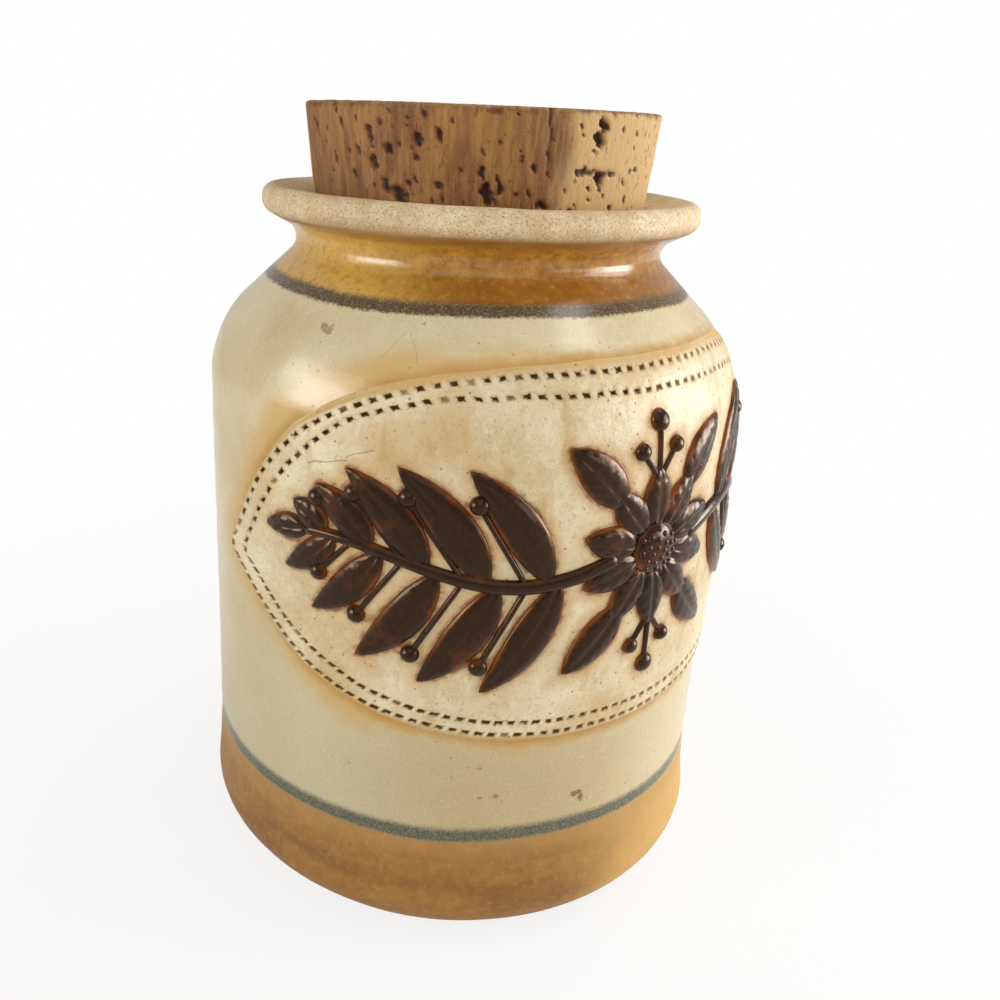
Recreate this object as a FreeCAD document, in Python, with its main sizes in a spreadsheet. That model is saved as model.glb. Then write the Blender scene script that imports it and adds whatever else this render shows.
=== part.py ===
"""Small stoneware storage jar with a cork stopper: a parametric FreeCAD document, in millimetres.

The jar stands on the origin with +Z up, and its applied oval medallion faces -Y. The jar is one fired
piece and shut, so its body is solid below the stopper's seat. The cork wedges in that seat.
"""
import FreeCAD
import Part
import math
import os

import Sketcher

DIMENSIONS = {
    # the thrown body
    "body_radius": 54.0,            # straight wall
    "foot_flare": 0.9,              # the wall stands this much further out just above the foot
    "foot_bevel_height": 8.0,
    "foot_bevel_width": 6.8,        # the trimmed bevel round the underside
    "foot_round": 7.0,              # softens that corner
    "foot_edge_round": 3.0,         # and the edge that the jar stands on
    "flare_high": 22.0,             # the flare above the foot has closed here
    "jar_height": 139.8,            # foot to the top of the lip
    "shoulder_round": 20.5,
    "shoulder_height": 16.1,        # from the shoulder's sharp corner up to the neck
    # neck and lip
    "neck_wall": 3.7,               # neck outside the mouth
    "neck_straight": 0.3,           # between its two roundings
    "neck_round": 3.2,
    "lip_width": 10.7,              # from the mouth out to the lip's edge
    "lip_rise": 3.7,                # the lip's underside climbs this much on its way out
    "lip_thickness": 5.2,
    "lip_round": 2.3,
    "mouth_dip": 3.0,               # the lip's top slopes down to the mouth
    # the cork
    "stopper_top_radius": 35.0,
    "stopper_bottom_radius": 32.0,
    "stopper_height": 30.0,
    "stopper_stand": 15.2,          # how far it stands above the lip
    "stopper_edge": 0.8,
    "stopper_floor_gap": 1.0,       # air between the cork's underside and the bottom of its seat
    # the applied medallion, measured along the wall
    "medallion_half_width": 84.4,
    "medallion_half_height": 33.9,
    "medallion_thickness": 1.75,    # at its middle
    "medallion_low_edge": 0.9,      # at its lower rim
    "medallion_top_edge": 0.2,      # pressed down to this on the shoulder
    "medallion_drop": 29.3,         # its centre below the shoulder's sharp corner
    "medallion_tilt": 2.4,          # degrees, right end up
    "medallion_end_power": 3.24,    # how long the oval keeps its full height towards its ends
    "medallion_side_power": 1.3,    # 2 would give rounded ends, 1 pointed ones
    "medallion_tip_drop": 3.2,      # how far its two tips hang below its middle line
}

OUTLINE_POINTS = 120        # fit points of the medallion's closed outline
TIP_POWER = 8               # how late towards the tips the medallion starts to hang
ROOT_SHARE = 0.75           # the medallion's clay reaches in to this share of the wall's radius
PAST_FACES = 0.05           # the surface that trims it runs past its faces by this share of the radius
SKIRT = 1.3                 # and its untrimmed ring reaches this many half heights below its centre


def make_sheet(doc):
    """The spreadsheet that every size below is read from."""
    sheet = doc.addObject("Spreadsheet::Sheet", "dims")
    for row, (name, value) in enumerate(DIMENSIONS.items(), start=1):
        sheet.set(f"A{row}", name)
        sheet.set(f"B{row}", str(value))
        sheet.setAlias(f"B{row}", name)
    doc.recompute()
    return sheet


def cell(name):
    return f"dims.{name}"


# Heights and radii that follow from the driving sizes, as expressions
LIP_TOP = cell("jar_height")
LIP_LOW = f"({LIP_TOP} - {cell('lip_thickness')})"
MOUTH_TOP = f"({LIP_TOP} - {cell('mouth_dip')})"
STOPPER_LOW = f"({LIP_TOP} + {cell('stopper_stand')} - {cell('stopper_height')})"
SEAT_FLOOR = f"({STOPPER_LOW} - {cell('stopper_floor_gap')})"
STOPPER_SLOPE = (f"(({cell('stopper_top_radius')} - {cell('stopper_bottom_radius')})"
                 f" / {cell('stopper_height')})")


def seat_radius(height):
    """The cork's taper carried to that height: the seat lies face to face with it."""
    return f"({cell('stopper_bottom_radius')} + ({height} - {STOPPER_LOW}) * {STOPPER_SLOPE})"


def tangent_length(rounding, turn):
    """How far a rounding reaches along each side of a corner where the outline turns that much."""
    return f"({rounding} * tan({turn} / 2))"


FOOT_RADIUS = f"({cell('body_radius')} + {cell('foot_flare')})"
FOOT_FLAT_RADIUS = f"({FOOT_RADIUS} - {cell('foot_bevel_width')})"
MOUTH_RADIUS = seat_radius(MOUTH_TOP)
NECK_RADIUS = f"({MOUTH_RADIUS} + {cell('neck_wall')})"
LIP_RADIUS = f"({MOUTH_RADIUS} + {cell('lip_width')})"
SHOULDER_TURN = f"atan(({cell('body_radius')} - {NECK_RADIUS}) / {cell('shoulder_height')})"
LIP_TURN = f"(90 deg - atan({cell('lip_rise')} / ({LIP_RADIUS} - {NECK_RADIUS})))"
NECK_LENGTH = (f"({tangent_length(cell('neck_round'), SHOULDER_TURN)}"
               f" + {tangent_length(cell('neck_round'), LIP_TURN)} + {cell('neck_straight')})")
NECK_TOP = f"({LIP_LOW} - {cell('lip_rise')})"
NECK_LOW = f"({NECK_TOP} - {NECK_LENGTH})"
SHOULDER_CORNER = f"({NECK_LOW} - {cell('shoulder_height')})"


def origin_item(body, role):
    return next(item for item in body.Origin.OriginFeatures if item.Role == role)


def revolve_profile(body, name, corners):
    """Turns a closed outline of (radius, height) expressions about the body's Z axis."""
    sketch = body.newObject("Sketcher::SketchObject", name + "_outline")
    sketch.AttachmentSupport = [(origin_item(body, "XZ_Plane"), "")]
    sketch.MapMode = "FlatFace"
    places = [tuple(float(sketch.evalExpression(e)) for e in corner) for corner in corners]
    count = len(corners)
    for i in range(count):
        start = FreeCAD.Vector(*places[i], 0)
        end = FreeCAD.Vector(*places[(i + 1) % count], 0)
        sketch.addGeometry(Part.LineSegment(start, end), False)
    for i in range(count):
        sketch.addConstraint(Sketcher.Constraint("Coincident", i, 2, (i + 1) % count, 1))
    for i, corner in enumerate(corners):
        for kind, expression, value in zip(("DistanceX", "DistanceY"), corner, places[i]):
            index = sketch.addConstraint(Sketcher.Constraint(kind, -1, 1, i, 1, value))
            sketch.setExpression(f"Constraints[{index}]", expression)
    turned = body.newObject("PartDesign::Revolution", name + "_turned")
    turned.Profile = sketch
    turned.ReferenceAxis = (sketch, ["V_Axis"])
    turned.Angle = 360.0
    return turned


def round_ring(body, name, base, radius, height, size):
    """Rounds the circular edge at that radius and height, all three given as expressions."""
    body.Document.recompute()
    want = [float(base.evalExpression(e)) for e in (radius, height)]
    edges = []
    for index, edge in enumerate(base.Shape.Edges, start=1):
        if not isinstance(edge.Curve, Part.Circle):
            continue
        found = (edge.Curve.Radius, edge.Curve.Center.z)
        if max(abs(a - b) for a, b in zip(want, found)) < 1e-4:
            edges.append(f"Edge{index}")
    if not edges:
        raise RuntimeError(f"{name}: no edge at radius {want[0]:.3f} and height {want[1]:.3f}")
    ring = body.newObject("PartDesign::Fillet", name)
    ring.Base = (base, edges)
    ring.setExpression("Radius", size)
    return ring


def make_thrown_body(doc):
    """Foot, wall, shoulder, neck, lip and seat as one turned solid."""
    body = doc.addObject("PartDesign::Body", "thrown_body")
    corners = [
        ("0", "0"),
        (FOOT_FLAT_RADIUS, "0"),
        (FOOT_RADIUS, cell("foot_bevel_height")),
        (cell("body_radius"), cell("flare_high")),
        (cell("body_radius"), SHOULDER_CORNER),
        (NECK_RADIUS, NECK_LOW),
        (NECK_RADIUS, NECK_TOP),
        (LIP_RADIUS, LIP_LOW),
        (LIP_RADIUS, LIP_TOP),
        (MOUTH_RADIUS, MOUTH_TOP),
        (seat_radius(SEAT_FLOOR), SEAT_FLOOR),
        ("0", SEAT_FLOOR),
    ]
    shape = revolve_profile(body, "jar", corners)
    rings = [
        ("foot_edge_rounding", FOOT_FLAT_RADIUS, "0", cell("foot_edge_round")),
        ("foot_rounding", FOOT_RADIUS, cell("foot_bevel_height"), cell("foot_round")),
        ("shoulder_rounding", cell("body_radius"), SHOULDER_CORNER, cell("shoulder_round")),
        ("neck_low_rounding", NECK_RADIUS, NECK_LOW, cell("neck_round")),
        ("neck_top_rounding", NECK_RADIUS, NECK_TOP, cell("neck_round")),
        ("lip_low_rounding", LIP_RADIUS, LIP_LOW, cell("lip_round")),
        ("lip_top_rounding", LIP_RADIUS, LIP_TOP, cell("lip_round")),
    ]
    for name, radius, height, size in rings:
        shape = round_ring(body, name, shape, radius, height, size)
    doc.recompute()
    return body


def make_stopper(doc):
    """The tapered cork, its two rims slightly worn round."""
    body = doc.addObject("PartDesign::Body", "stopper")
    top = f"({STOPPER_LOW} + {cell('stopper_height')})"
    corners = [
        ("0", STOPPER_LOW),
        (cell("stopper_bottom_radius"), STOPPER_LOW),
        (cell("stopper_top_radius"), top),
        ("0", top),
    ]
    shape = revolve_profile(body, "cork", corners)
    shape = round_ring(body, "cork_low_edge", shape, cell("stopper_bottom_radius"), STOPPER_LOW,
                       cell("stopper_edge"))
    round_ring(body, "cork_top_edge", shape, cell("stopper_top_radius"), top, cell("stopper_edge"))
    doc.recompute()
    return body


def oval_point(sheet, turn):
    """A point of the medallion's outline, (along the wall, up), for a turn about its centre."""
    half_width, half_height = sheet.medallion_half_width, sheet.medallion_half_height
    across, up = math.cos(turn), math.sin(turn)
    low, high = 0.0, 2.0
    for _ in range(50):
        reach = (low + high) / 2
        filled = abs(reach * across) ** sheet.medallion_end_power
        filled += abs(reach * up) ** sheet.medallion_side_power
        if filled > 1:
            high = reach
        else:
            low = reach
    hang = sheet.medallion_tip_drop * abs(across * low) ** TIP_POWER
    across, up = across * low * half_width, up * low * half_height - hang
    tilt = math.radians(sheet.medallion_tilt)
    return (across * math.cos(tilt) - up * math.sin(tilt),
            across * math.sin(tilt) + up * math.cos(tilt))


def wrapped_outline(sheet, radius, centre_height):
    """The medallion's outline laid round a cylinder, as one closed smooth edge facing -Y."""
    points = []
    for i in range(OUTLINE_POINTS):
        along, up = oval_point(sheet, 2 * math.pi * i / OUTLINE_POINTS)
        angle = along / sheet.body_radius
        points.append(FreeCAD.Vector(radius * math.sin(angle), -radius * math.cos(angle),
                                     centre_height + up))
    curve = Part.BSplineCurve()
    curve.interpolate(Points=points, PeriodicFlag=True)
    return curve.toShape()


def skin_ring(sheet, corner_height, neck, centre_height):
    """The wall and shoulder grown by the medallion's thickness, down to well inside the wall.

    corner_height is the shoulder's sharp corner and neck the (radius, height) where its slope ends.
    """
    outer, rounding = sheet.body_radius, sheet.shoulder_round
    low_edge, top_edge = sheet.medallion_low_edge, sheet.medallion_top_edge
    half_way = (sheet.medallion_thickness + top_edge) / 2
    run, rise = neck[0] - outer, neck[1] - corner_height
    lean = math.atan2(-run, rise)
    start = corner_height - rounding * math.tan(lean / 2)
    inner = outer * ROOT_SHARE

    def at(radius, height):
        return FreeCAD.Vector(radius, 0, height)

    def on_shoulder(angle, grow):
        reach = rounding + grow
        return at(outer - rounding + reach * math.cos(angle), start + reach * math.sin(angle))

    bottom = centre_height - SKIRT * sheet.medallion_half_height
    swell_low = at(outer + low_edge, centre_height - sheet.medallion_half_height)
    swell = at(outer + sheet.medallion_thickness, centre_height)
    arc_start = on_shoulder(0, half_way)
    arc_middle = on_shoulder(lean / 2, (half_way + top_edge) / 2)
    arc_end = on_shoulder(lean, top_edge)
    climb = FreeCAD.Vector(run, 0, rise).normalize()
    top = arc_end + climb * ((arc_end.x - inner) / -climb.x)
    edges = [
        Part.LineSegment(at(inner, bottom), at(outer + low_edge, bottom)).toShape(),
        Part.LineSegment(at(outer + low_edge, bottom), swell_low).toShape(),
        Part.Arc(swell_low, swell, arc_start).toShape(),
        Part.Arc(arc_start, arc_middle, arc_end).toShape(),
        Part.LineSegment(arc_end, top).toShape(),
        Part.LineSegment(top, at(inner, bottom)).toShape(),
    ]
    face = Part.Face(Part.Wire(edges))
    return face.revolve(FreeCAD.Vector(0, 0, 0), FreeCAD.Vector(0, 0, 1), 360)


def make_medallion(doc, sheet, body):
    """The oval slab of clay luted onto the wall, its edge square to the wall."""
    corner_height = float(body.evalExpression(SHOULDER_CORNER))
    neck = (float(body.evalExpression(NECK_RADIUS)), float(body.evalExpression(NECK_LOW)))
    centre_height = corner_height - sheet.medallion_drop
    ring = skin_ring(sheet, corner_height, neck, centre_height)
    inside = sheet.body_radius * (ROOT_SHARE - PAST_FACES)
    outside = sheet.body_radius * (1 + PAST_FACES) + sheet.medallion_thickness
    trim = Part.makeRuledSurface(wrapped_outline(sheet, inside, centre_height),
                                 wrapped_outline(sheet, outside, centre_height))
    pieces, _ = ring.generalFuse([trim])
    front = FreeCAD.Vector(0, -sheet.body_radius, centre_height)
    slab = next(solid for solid in pieces.Solids if solid.isInside(front, 1e-3, True))
    medallion = doc.addObject("Part::Feature", "medallion")
    medallion.Shape = slab
    medallion.Placement = FreeCAD.Placement()
    return medallion


def make_jar(doc, sheet):
    """The thrown body with its medallion: one fired piece."""
    body = make_thrown_body(doc)
    medallion = make_medallion(doc, sheet, body)
    jar = doc.addObject("Part::Fuse", "fired_jar")
    jar.Base = body
    jar.Tool = medallion
    jar.Refine = True
    return jar


def check(doc, parts):
    """Stops before anything is written if a feature failed or a part isn't one valid solid."""
    for item in doc.Objects:
        if "Invalid" in item.State or "Error" in item.State:
            raise RuntimeError(f"{item.Name} failed: {item.State}")
    for part in parts:
        shape = part.Shape
        if shape.isNull() or not shape.isValid() or len(shape.Solids) != 1:
            raise RuntimeError(f"{part.Label} isn't one valid solid")


def main():
    doc = FreeCAD.newDocument("storage_jar")
    sheet = make_sheet(doc)
    jar = make_jar(doc, sheet)
    jar.Label = "jar"
    stopper = make_stopper(doc)
    stopper.Label = "stopper"
    parts = [jar, stopper]
    for part in parts:
        part.Placement = FreeCAD.Placement()
    doc.recompute()
    check(doc, parts)
    os.makedirs("parts", exist_ok=True)
    for part in parts:
        part.Shape.exportStep(f"parts/{part.Label}.step")
        box = part.Shape.BoundBox
        print(f"{part.Label}: volume {part.Shape.Volume:.0f} mm3, x {box.XMin:.2f}..{box.XMax:.2f},"
              f" y {box.YMin:.2f}..{box.YMax:.2f}, z {box.ZMin:.2f}..{box.ZMax:.2f}")


main()
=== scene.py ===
"""Stoneware storage jar with a cork stopper: its looks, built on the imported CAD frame."""
import bisect
import math
import random

import bmesh
import bpy
from mathutils import Matrix, Vector, kdtree, noise


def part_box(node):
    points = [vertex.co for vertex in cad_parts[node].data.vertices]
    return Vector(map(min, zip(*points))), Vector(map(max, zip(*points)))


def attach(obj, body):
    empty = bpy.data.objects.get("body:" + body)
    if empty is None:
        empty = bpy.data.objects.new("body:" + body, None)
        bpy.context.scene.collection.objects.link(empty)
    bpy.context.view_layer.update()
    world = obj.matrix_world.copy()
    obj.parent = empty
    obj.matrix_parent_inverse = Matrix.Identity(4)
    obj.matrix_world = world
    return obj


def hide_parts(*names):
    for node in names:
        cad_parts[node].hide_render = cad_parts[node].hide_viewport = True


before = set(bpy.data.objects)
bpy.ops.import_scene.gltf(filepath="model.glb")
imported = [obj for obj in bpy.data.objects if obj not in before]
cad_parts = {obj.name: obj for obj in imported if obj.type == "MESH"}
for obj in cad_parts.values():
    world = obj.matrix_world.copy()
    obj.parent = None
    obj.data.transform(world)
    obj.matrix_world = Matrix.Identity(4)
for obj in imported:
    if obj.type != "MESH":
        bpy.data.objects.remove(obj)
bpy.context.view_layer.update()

MM = 0.001

CORK_LOW, CORK_HIGH = (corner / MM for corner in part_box("stopper"))

# Sizes of the thrown body in mm, as in the CAD part
WALL = 54.0
FOOT = 54.9
SHOULDER_CORNER = 111.2
NECK = 36.9
LIP = 43.9
MOUTH_HEIGHT = 136.8
MOUTH = 33.18
SEAT_FLOOR = 124.0
SEAT_FLOOR_RADIUS = 31.9
CORK_BOTTOM = 32.0
CORK_TOP = 35.0


def mix(low, high, share):
    return low + (high - low) * share


def smooth(low, high, value):
    """0 below low, 1 above high and an eased step between."""
    share = min(1.0, max(0.0, (value - low) / (high - low)))
    return share * share * (3 - 2 * share)


def bump(value, centre, reach):
    """1 at the centre, easing to 0 at that reach on both sides."""
    return 1 - smooth(0, reach, abs(value - centre))


def finish_mesh(name, bm, material):
    """Makes the finished mesh an object that rides with the jar."""
    bmesh.ops.remove_doubles(bm, verts=bm.verts, dist=1e-3)
    bmesh.ops.recalc_face_normals(bm, faces=bm.faces)
    bmesh.ops.scale(bm, vec=(MM, MM, MM), verts=bm.verts)
    for face in bm.faces:
        face.smooth = True
    mesh = bpy.data.meshes.new(name)
    bm.to_mesh(mesh)
    bm.free()
    piece = bpy.data.objects.new(name, mesh)
    bpy.context.collection.objects.link(piece)
    mesh.materials.append(material)
    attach(piece, "root")
    return piece


# ---------------------------------------------------------------- turned shapes

def turned(corners, steps):
    """Turns an outline about Z. Each corner is (radius, height, rounding, spacing of points to the next)."""
    bm = bmesh.new()
    path = [bm.verts.new((radius, 0, height)) for radius, height, _, _ in corners]
    spacing = bm.edges.layers.float.new("spacing")
    for start, end, corner in zip(path, path[1:], corners):
        bm.edges.new((start, end))[spacing] = corner[3]
    for vert, (_, _, rounding, gap) in zip(path, corners):
        if rounding:
            arms = [edge.other_vert(vert).co - vert.co for edge in vert.link_edges]
            turn = math.pi - arms[0].angle(arms[1])
            bmesh.ops.bevel(bm, geom=[vert], offset=rounding * math.tan(turn / 2), offset_type="OFFSET",
                            segments=max(4, int(rounding * turn / gap)), profile=0.5,
                            affect="VERTICES", material=-1)
    for edge in list(bm.edges):
        gap = edge[spacing]
        cuts = int(edge.calc_length() / gap) if gap else 0
        if cuts:
            bmesh.ops.subdivide_edges(bm, edges=[edge], cuts=cuts)
    bmesh.ops.spin(bm, geom=bm.verts[:] + bm.edges[:], cent=(0, 0, 0), axis=(0, 0, 1),
                   angle=math.tau, steps=steps, use_merge=True)
    bmesh.ops.remove_doubles(bm, verts=bm.verts, dist=1e-4)
    return bm


JAR_CORNERS = [
    (0, 0, 0, 3.0),
    (48.1, 0, 3.0, 1.2),
    (FOOT, 8.0, 7.0, 1.2),
    (WALL, 22.0, 0, 1.2),
    (WALL, SHOULDER_CORNER, 20.5, 1.1),
    (NECK, 127.3, 3.2, 0.7),
    (NECK, 130.9, 3.2, 0.7),
    (LIP, 134.6, 2.3, 0.6),
    (LIP, 139.8, 2.3, 0.8),
    (MOUTH, MOUTH_HEIGHT, 0.6, 2.0),
    (SEAT_FLOOR_RADIUS, SEAT_FLOOR, 0, 8.0),
    (0, SEAT_FLOOR, 0, 0),
]


def wall_profile(bm):
    """The outside of the turned wall as sorted heights and their radii."""
    points = sorted((vert.co.z, vert.co.x) for vert in bm.verts
                    if abs(vert.co.y) < 1e-4 and vert.co.x > NECK - 1 and vert.co.z < 128)
    return [height for height, _ in points], [radius for _, radius in points]


def wall_radius(height):
    heights, radii = PROFILE
    place = min(max(bisect.bisect(heights, height), 1), len(heights) - 1)
    low, high = heights[place - 1], heights[place]
    share = (height - low) / (high - low) if high > low else 0
    return mix(radii[place - 1], radii[place], min(1, max(0, share)))


# ---------------------------------------------------------------- the medallion's own sheet of places
# A place on the medallion is (along, up, out): mm round the wall from its centre, mm up, and mm out
# from the bare wall.

MEDALLION_HALF_WIDTH = 84.4
MEDALLION_HALF_HEIGHT = 33.9
MEDALLION_CENTRE = 81.9
MEDALLION_TILT = math.radians(2.4)
END_POWER = 3.24
SIDE_POWER = 1.3
TIP_STRETCH = 1.0 / math.sin(math.radians(55))      # the tips are pointed, so they draw in faster
TIP_DROP = 3.2          # its two tips hang this far below its middle line
TIP_POWER = 8           # and this late towards the tips
MARKS = 150             # dashes that one turn of the roulette round the slab leaves
TOP_MARKS = 70          # of which these lie on its upper half
MARK_PITCH = 2.62
MARK_LENGTH = 1.22
MARK_HEIGHT = 0.72
MARK_SLOPES = (0.13, 0.16)              # each dash steps down twice, over these widths
MARK_STEP = 0.14                        # first by this much
MARK_SINK = (0.2, 0.4)                  # and then by an amount between these
MARK_SHARE = 0.4                        # but never through more than this share of the slab
SLAB_MIDDLE, SLAB_SHOULDER, SLAB_LOW, SLAB_TOP = 1.75, 0.98, 0.9, 0.2
SHOULDER_UP = 20.5      # the slab turns onto the jar's shoulder at this height above its centre
EDGE_POINTS = 1400      # points that the distances from the slab's edge are measured to
EDGE_BEYOND = 1.3       # and how far outside the outer row they lie
# Where the two rows of the roulette run: degrees round the slab, and how far the outer and the inner row
# lie in from the oval, in mm
ROWS = [(0, 1.0, 4.4), (12, 1.8, 5.0), (30, 2.0, 5.5), (60, 2.1, 5.7), (80, 2.1, 5.6), (90, 1.9, 5.4),
        (100, 1.5, 4.8), (110, 0.8, 3.7), (118, 0.3, 2.4), (130, 0.2, 1.9), (138, 0.3, 2.8), (145, 0.8, 3.5),
        (154, 1.2, 4.1), (162, 1.7, 4.6), (170, 1.9, 4.8), (176, 1.4, 4.6), (180, 0.6, 4.2), (183, 0.0, 3.8),
        (187, 1.0, 4.8), (192, 1.7, 5.2), (199, 2.1, 5.3), (207, 2.1, 4.9), (214, 1.6, 4.6), (222, 1.1, 4.3),
        (231, 1.0, 3.8), (242, 1.2, 3.6), (250, 0.8, 3.35), (260, 0.5, 3.0), (270, 0.1, 2.8), (285, 0.2, 2.8),
        (310, 0.8, 3.3), (340, 1.2, 4.2), (360, 1.0, 4.4)]


def slab_thickness(up):
    """How far the slab stands out: fullest at its middle, pressed down onto the shoulder."""
    if up < 0:
        return SLAB_MIDDLE - (SLAB_MIDDLE - SLAB_LOW) * (up / MEDALLION_HALF_HEIGHT) ** 2
    if up < SHOULDER_UP:
        return SLAB_MIDDLE - (SLAB_MIDDLE - SLAB_SHOULDER) * (up / SHOULDER_UP) ** 2
    return mix(SLAB_SHOULDER, SLAB_TOP, min(1, (up - SHOULDER_UP) / (MEDALLION_HALF_HEIGHT - SHOULDER_UP)))


def unit_oval(turn):
    """A point of the medallion's oval of half width and half height 1, for a turn about its centre."""
    across, up = math.cos(turn), math.sin(turn)
    low, high = 0.0, 2.0
    for _ in range(32):
        reach = (low + high) / 2
        if abs(reach * across) ** END_POWER + abs(reach * up) ** SIDE_POWER > 1:
            high = reach
        else:
            low = reach
    return across * low, up * low


def oval(unit, inset, drop=TIP_DROP):
    """That point on the slab, drawn in from its rim by inset mm."""
    return (unit[0] * (MEDALLION_HALF_WIDTH - inset * TIP_STRETCH),
            unit[1] * (MEDALLION_HALF_HEIGHT - inset) - drop * abs(unit[0]) ** TIP_POWER)


def rows_at(turn):
    """How far in the outer and the inner row lie at that turn."""
    degrees = math.degrees(turn) % 360
    place = min(max(bisect.bisect([row[0] for row in ROWS], degrees), 1), len(ROWS) - 1)
    before, after = ROWS[place - 1], ROWS[place]
    share = smooth(before[0], after[0], degrees)
    return mix(before[1], after[1], share), mix(before[2], after[2], share)


def edge_points(count, beyond):
    """The slab's own edge, that far outside the outer row."""
    points = []
    for i in range(count):
        turn = math.tau * i / count
        points.append(Vector((*oval(unit_oval(turn), rows_at(turn)[0] - beyond), 0)))
    return points


def run_table():
    """The oval's length so far at each of many even turns, without the drop, so both halves pair up."""
    run, last = [0.0], None
    for i in range(1441):
        point = oval(unit_oval(math.tau * i / 1440), 1.0, 0)
        if last:
            run.append(run[-1] + math.dist(last, point))
        last = point
    return run


RUN = run_table()


def turn_at(share):
    """The turn at which the oval's length reaches that share of the whole."""
    want = (share % 1) * RUN[-1]
    place = min(max(bisect.bisect(RUN, want), 1), len(RUN) - 1)
    part = (want - RUN[place - 1]) / (RUN[place] - RUN[place - 1])
    return math.tau * (place - 1 + part) / (len(RUN) - 1)


def mark_share(number):
    """Where round the slab a dash lies; the wheel slipped a little on the slope of the shoulder."""
    if number < TOP_MARKS:
        return 0.5 * number / TOP_MARKS
    return 0.5 + 0.5 * (number - TOP_MARKS) / (MARKS - TOP_MARKS)


def tilted(along, up):
    return (along * math.cos(MEDALLION_TILT) - up * math.sin(MEDALLION_TILT),
            along * math.sin(MEDALLION_TILT) + up * math.cos(MEDALLION_TILT))


def onto_wall(place):
    """Bends a place of the medallion round the jar."""
    along, up = tilted(place.x, place.y)
    angle = along / WALL
    height = MEDALLION_CENTRE + up
    radius = wall_radius(height) + place.z
    return Vector((radius * math.sin(angle), -radius * math.cos(angle), height))


# ---------------------------------------------------------------- the relief's drawing: a flower and two leafy sprigs

def sprig_stem(side, share):
    """A point of a sprig's stem, from under the flower out towards the tip of the medallion."""
    along = mix(8.0, 63.0, share)
    up = 3.4 * math.sin(share * math.pi * 1.6) - 1.5 * share
    return Vector((side * along, up * side, 0))


def draw_leaf(base, heading, length, width, bend):
    """A leaf: where it starts, which way it points in degrees, its size, and how much it curves."""
    return {"base": base, "heading": math.radians(heading), "length": length, "width": width, "bend": bend}


def leaf_point(leaf, share):
    """The leaf's midrib at that share of its length, and the direction across it."""
    turn = leaf["heading"] + leaf["bend"] * (share - 0.3)
    mean = leaf["heading"] + leaf["bend"] * (share / 2 - 0.3)
    middle = leaf["base"] + Vector((math.cos(mean), math.sin(mean), 0)) * leaf["length"] * share
    return middle, Vector((-math.sin(turn), math.cos(turn), 0))


def leaf_half_width(leaf, share):
    return leaf["width"] / 2 * max(0.0, math.sin(math.pi * share ** 0.85)) ** 0.72


def room_at(point, margin):
    """Whether that place lies inside the oval drawn in by the margin."""
    across = abs(point.x / (MEDALLION_HALF_WIDTH - margin * TIP_STRETCH))
    up = point.y + TIP_DROP * across ** TIP_POWER
    return across ** END_POWER + abs(up / (MEDALLION_HALF_HEIGHT - margin)) ** SIDE_POWER < 1


def sprig_heading(side, up_down, spread):
    return (0 if side > 0 else 180) + spread * up_down * side


def spoke(turn, reach):
    """A point that far from the flower's middle."""
    return Vector((math.cos(math.radians(turn)), math.sin(math.radians(turn)), 0)) * reach


def draw_leaves():
    """Pairs of leaves down each stem, as long as the slab leaves room for, and four round the flower."""
    leaves = []
    for side in (-1, 1):
        for share, longest, width, spread in ((0.20, 24.5, 7.2, 63), (0.39, 25.0, 7.4, 60), (0.57, 23.0, 7.0, 56),
                                              (0.74, 18.5, 6.4, 50), (0.89, 13.0, 5.4, 42)):
            for up_down in (1, -1):
                base = sprig_stem(side, share + 0.03 * (up_down > 0))
                heading = sprig_heading(side, up_down, spread)
                length = longest
                while length > 8 and not room_at(base + spoke(heading, length), 8.4):
                    length -= 0.25
                leaves.append(draw_leaf(base, heading, length, width, -0.5 * up_down * side))
        leaves.append(draw_leaf(sprig_stem(side, 0.98), sprig_heading(side, 1, -4), 10.0, 5.0, 0.15))
    for turn in (52, 128, 232, 308):
        bend = 0.35 if turn in (128, 308) else -0.35
        leaves.append(draw_leaf(spoke(turn, 11.5), turn, 16.0, 7.4, bend))
    return leaves


def draw_petals():
    return [draw_leaf(spoke(turn, 4.0), turn, 11.5, 6.6, 0.0) for turn in range(18, 378, 36)]


def draw_berries():
    """Berries on stalks that run between the leaves: (start of the stalk, berry's middle, radius)."""
    berries = []
    for side in (-1, 1):
        for share, reach, spread in ((0.30, 17.0, 62), (0.49, 17.0, 58), (0.67, 14.0, 53), (0.83, 9.5, 46)):
            for up_down in (1, -1):
                base = sprig_stem(side, share)
                away = spoke(sprig_heading(side, up_down, spread), reach)
                berries.append((base, base + away, 1.7))
    for turn in (90, 270):
        berries.append((spoke(turn, 11.0), spoke(turn, 23.5), 2.0))
        for spread in (-12, 12):
            berries.append((spoke(turn, 13.0), spoke(turn + spread, 19.0), 1.6))
    return berries


LEAVES = draw_leaves()
PETALS = draw_petals()
BERRIES = draw_berries()
RELIEF_HEIGHT = 1.2


def relief_outline():
    """Points round the edge of every part of the relief, for the stain that bleeds out of it."""
    points = []
    for leaf in LEAVES + PETALS:
        for i in range(25):
            middle, across = leaf_point(leaf, i / 24)
            for side in (-1, 1):
                points.append(middle + across * side * leaf_half_width(leaf, i / 24))
    for side in (-1, 1):
        points += [sprig_stem(side, i / 60) for i in range(61)]
    for _, middle, radius in BERRIES:
        points += [middle + Vector((math.cos(a), math.sin(a), 0)) * radius
                   for a in (math.tau * i / 8 for i in range(8))]
    return points


def tree_of(points):
    tree = kdtree.KDTree(len(points))
    for i, point in enumerate(points):
        tree.insert(point, i)
    tree.balance()
    return tree


# ---------------------------------------------------------------- materials

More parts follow.
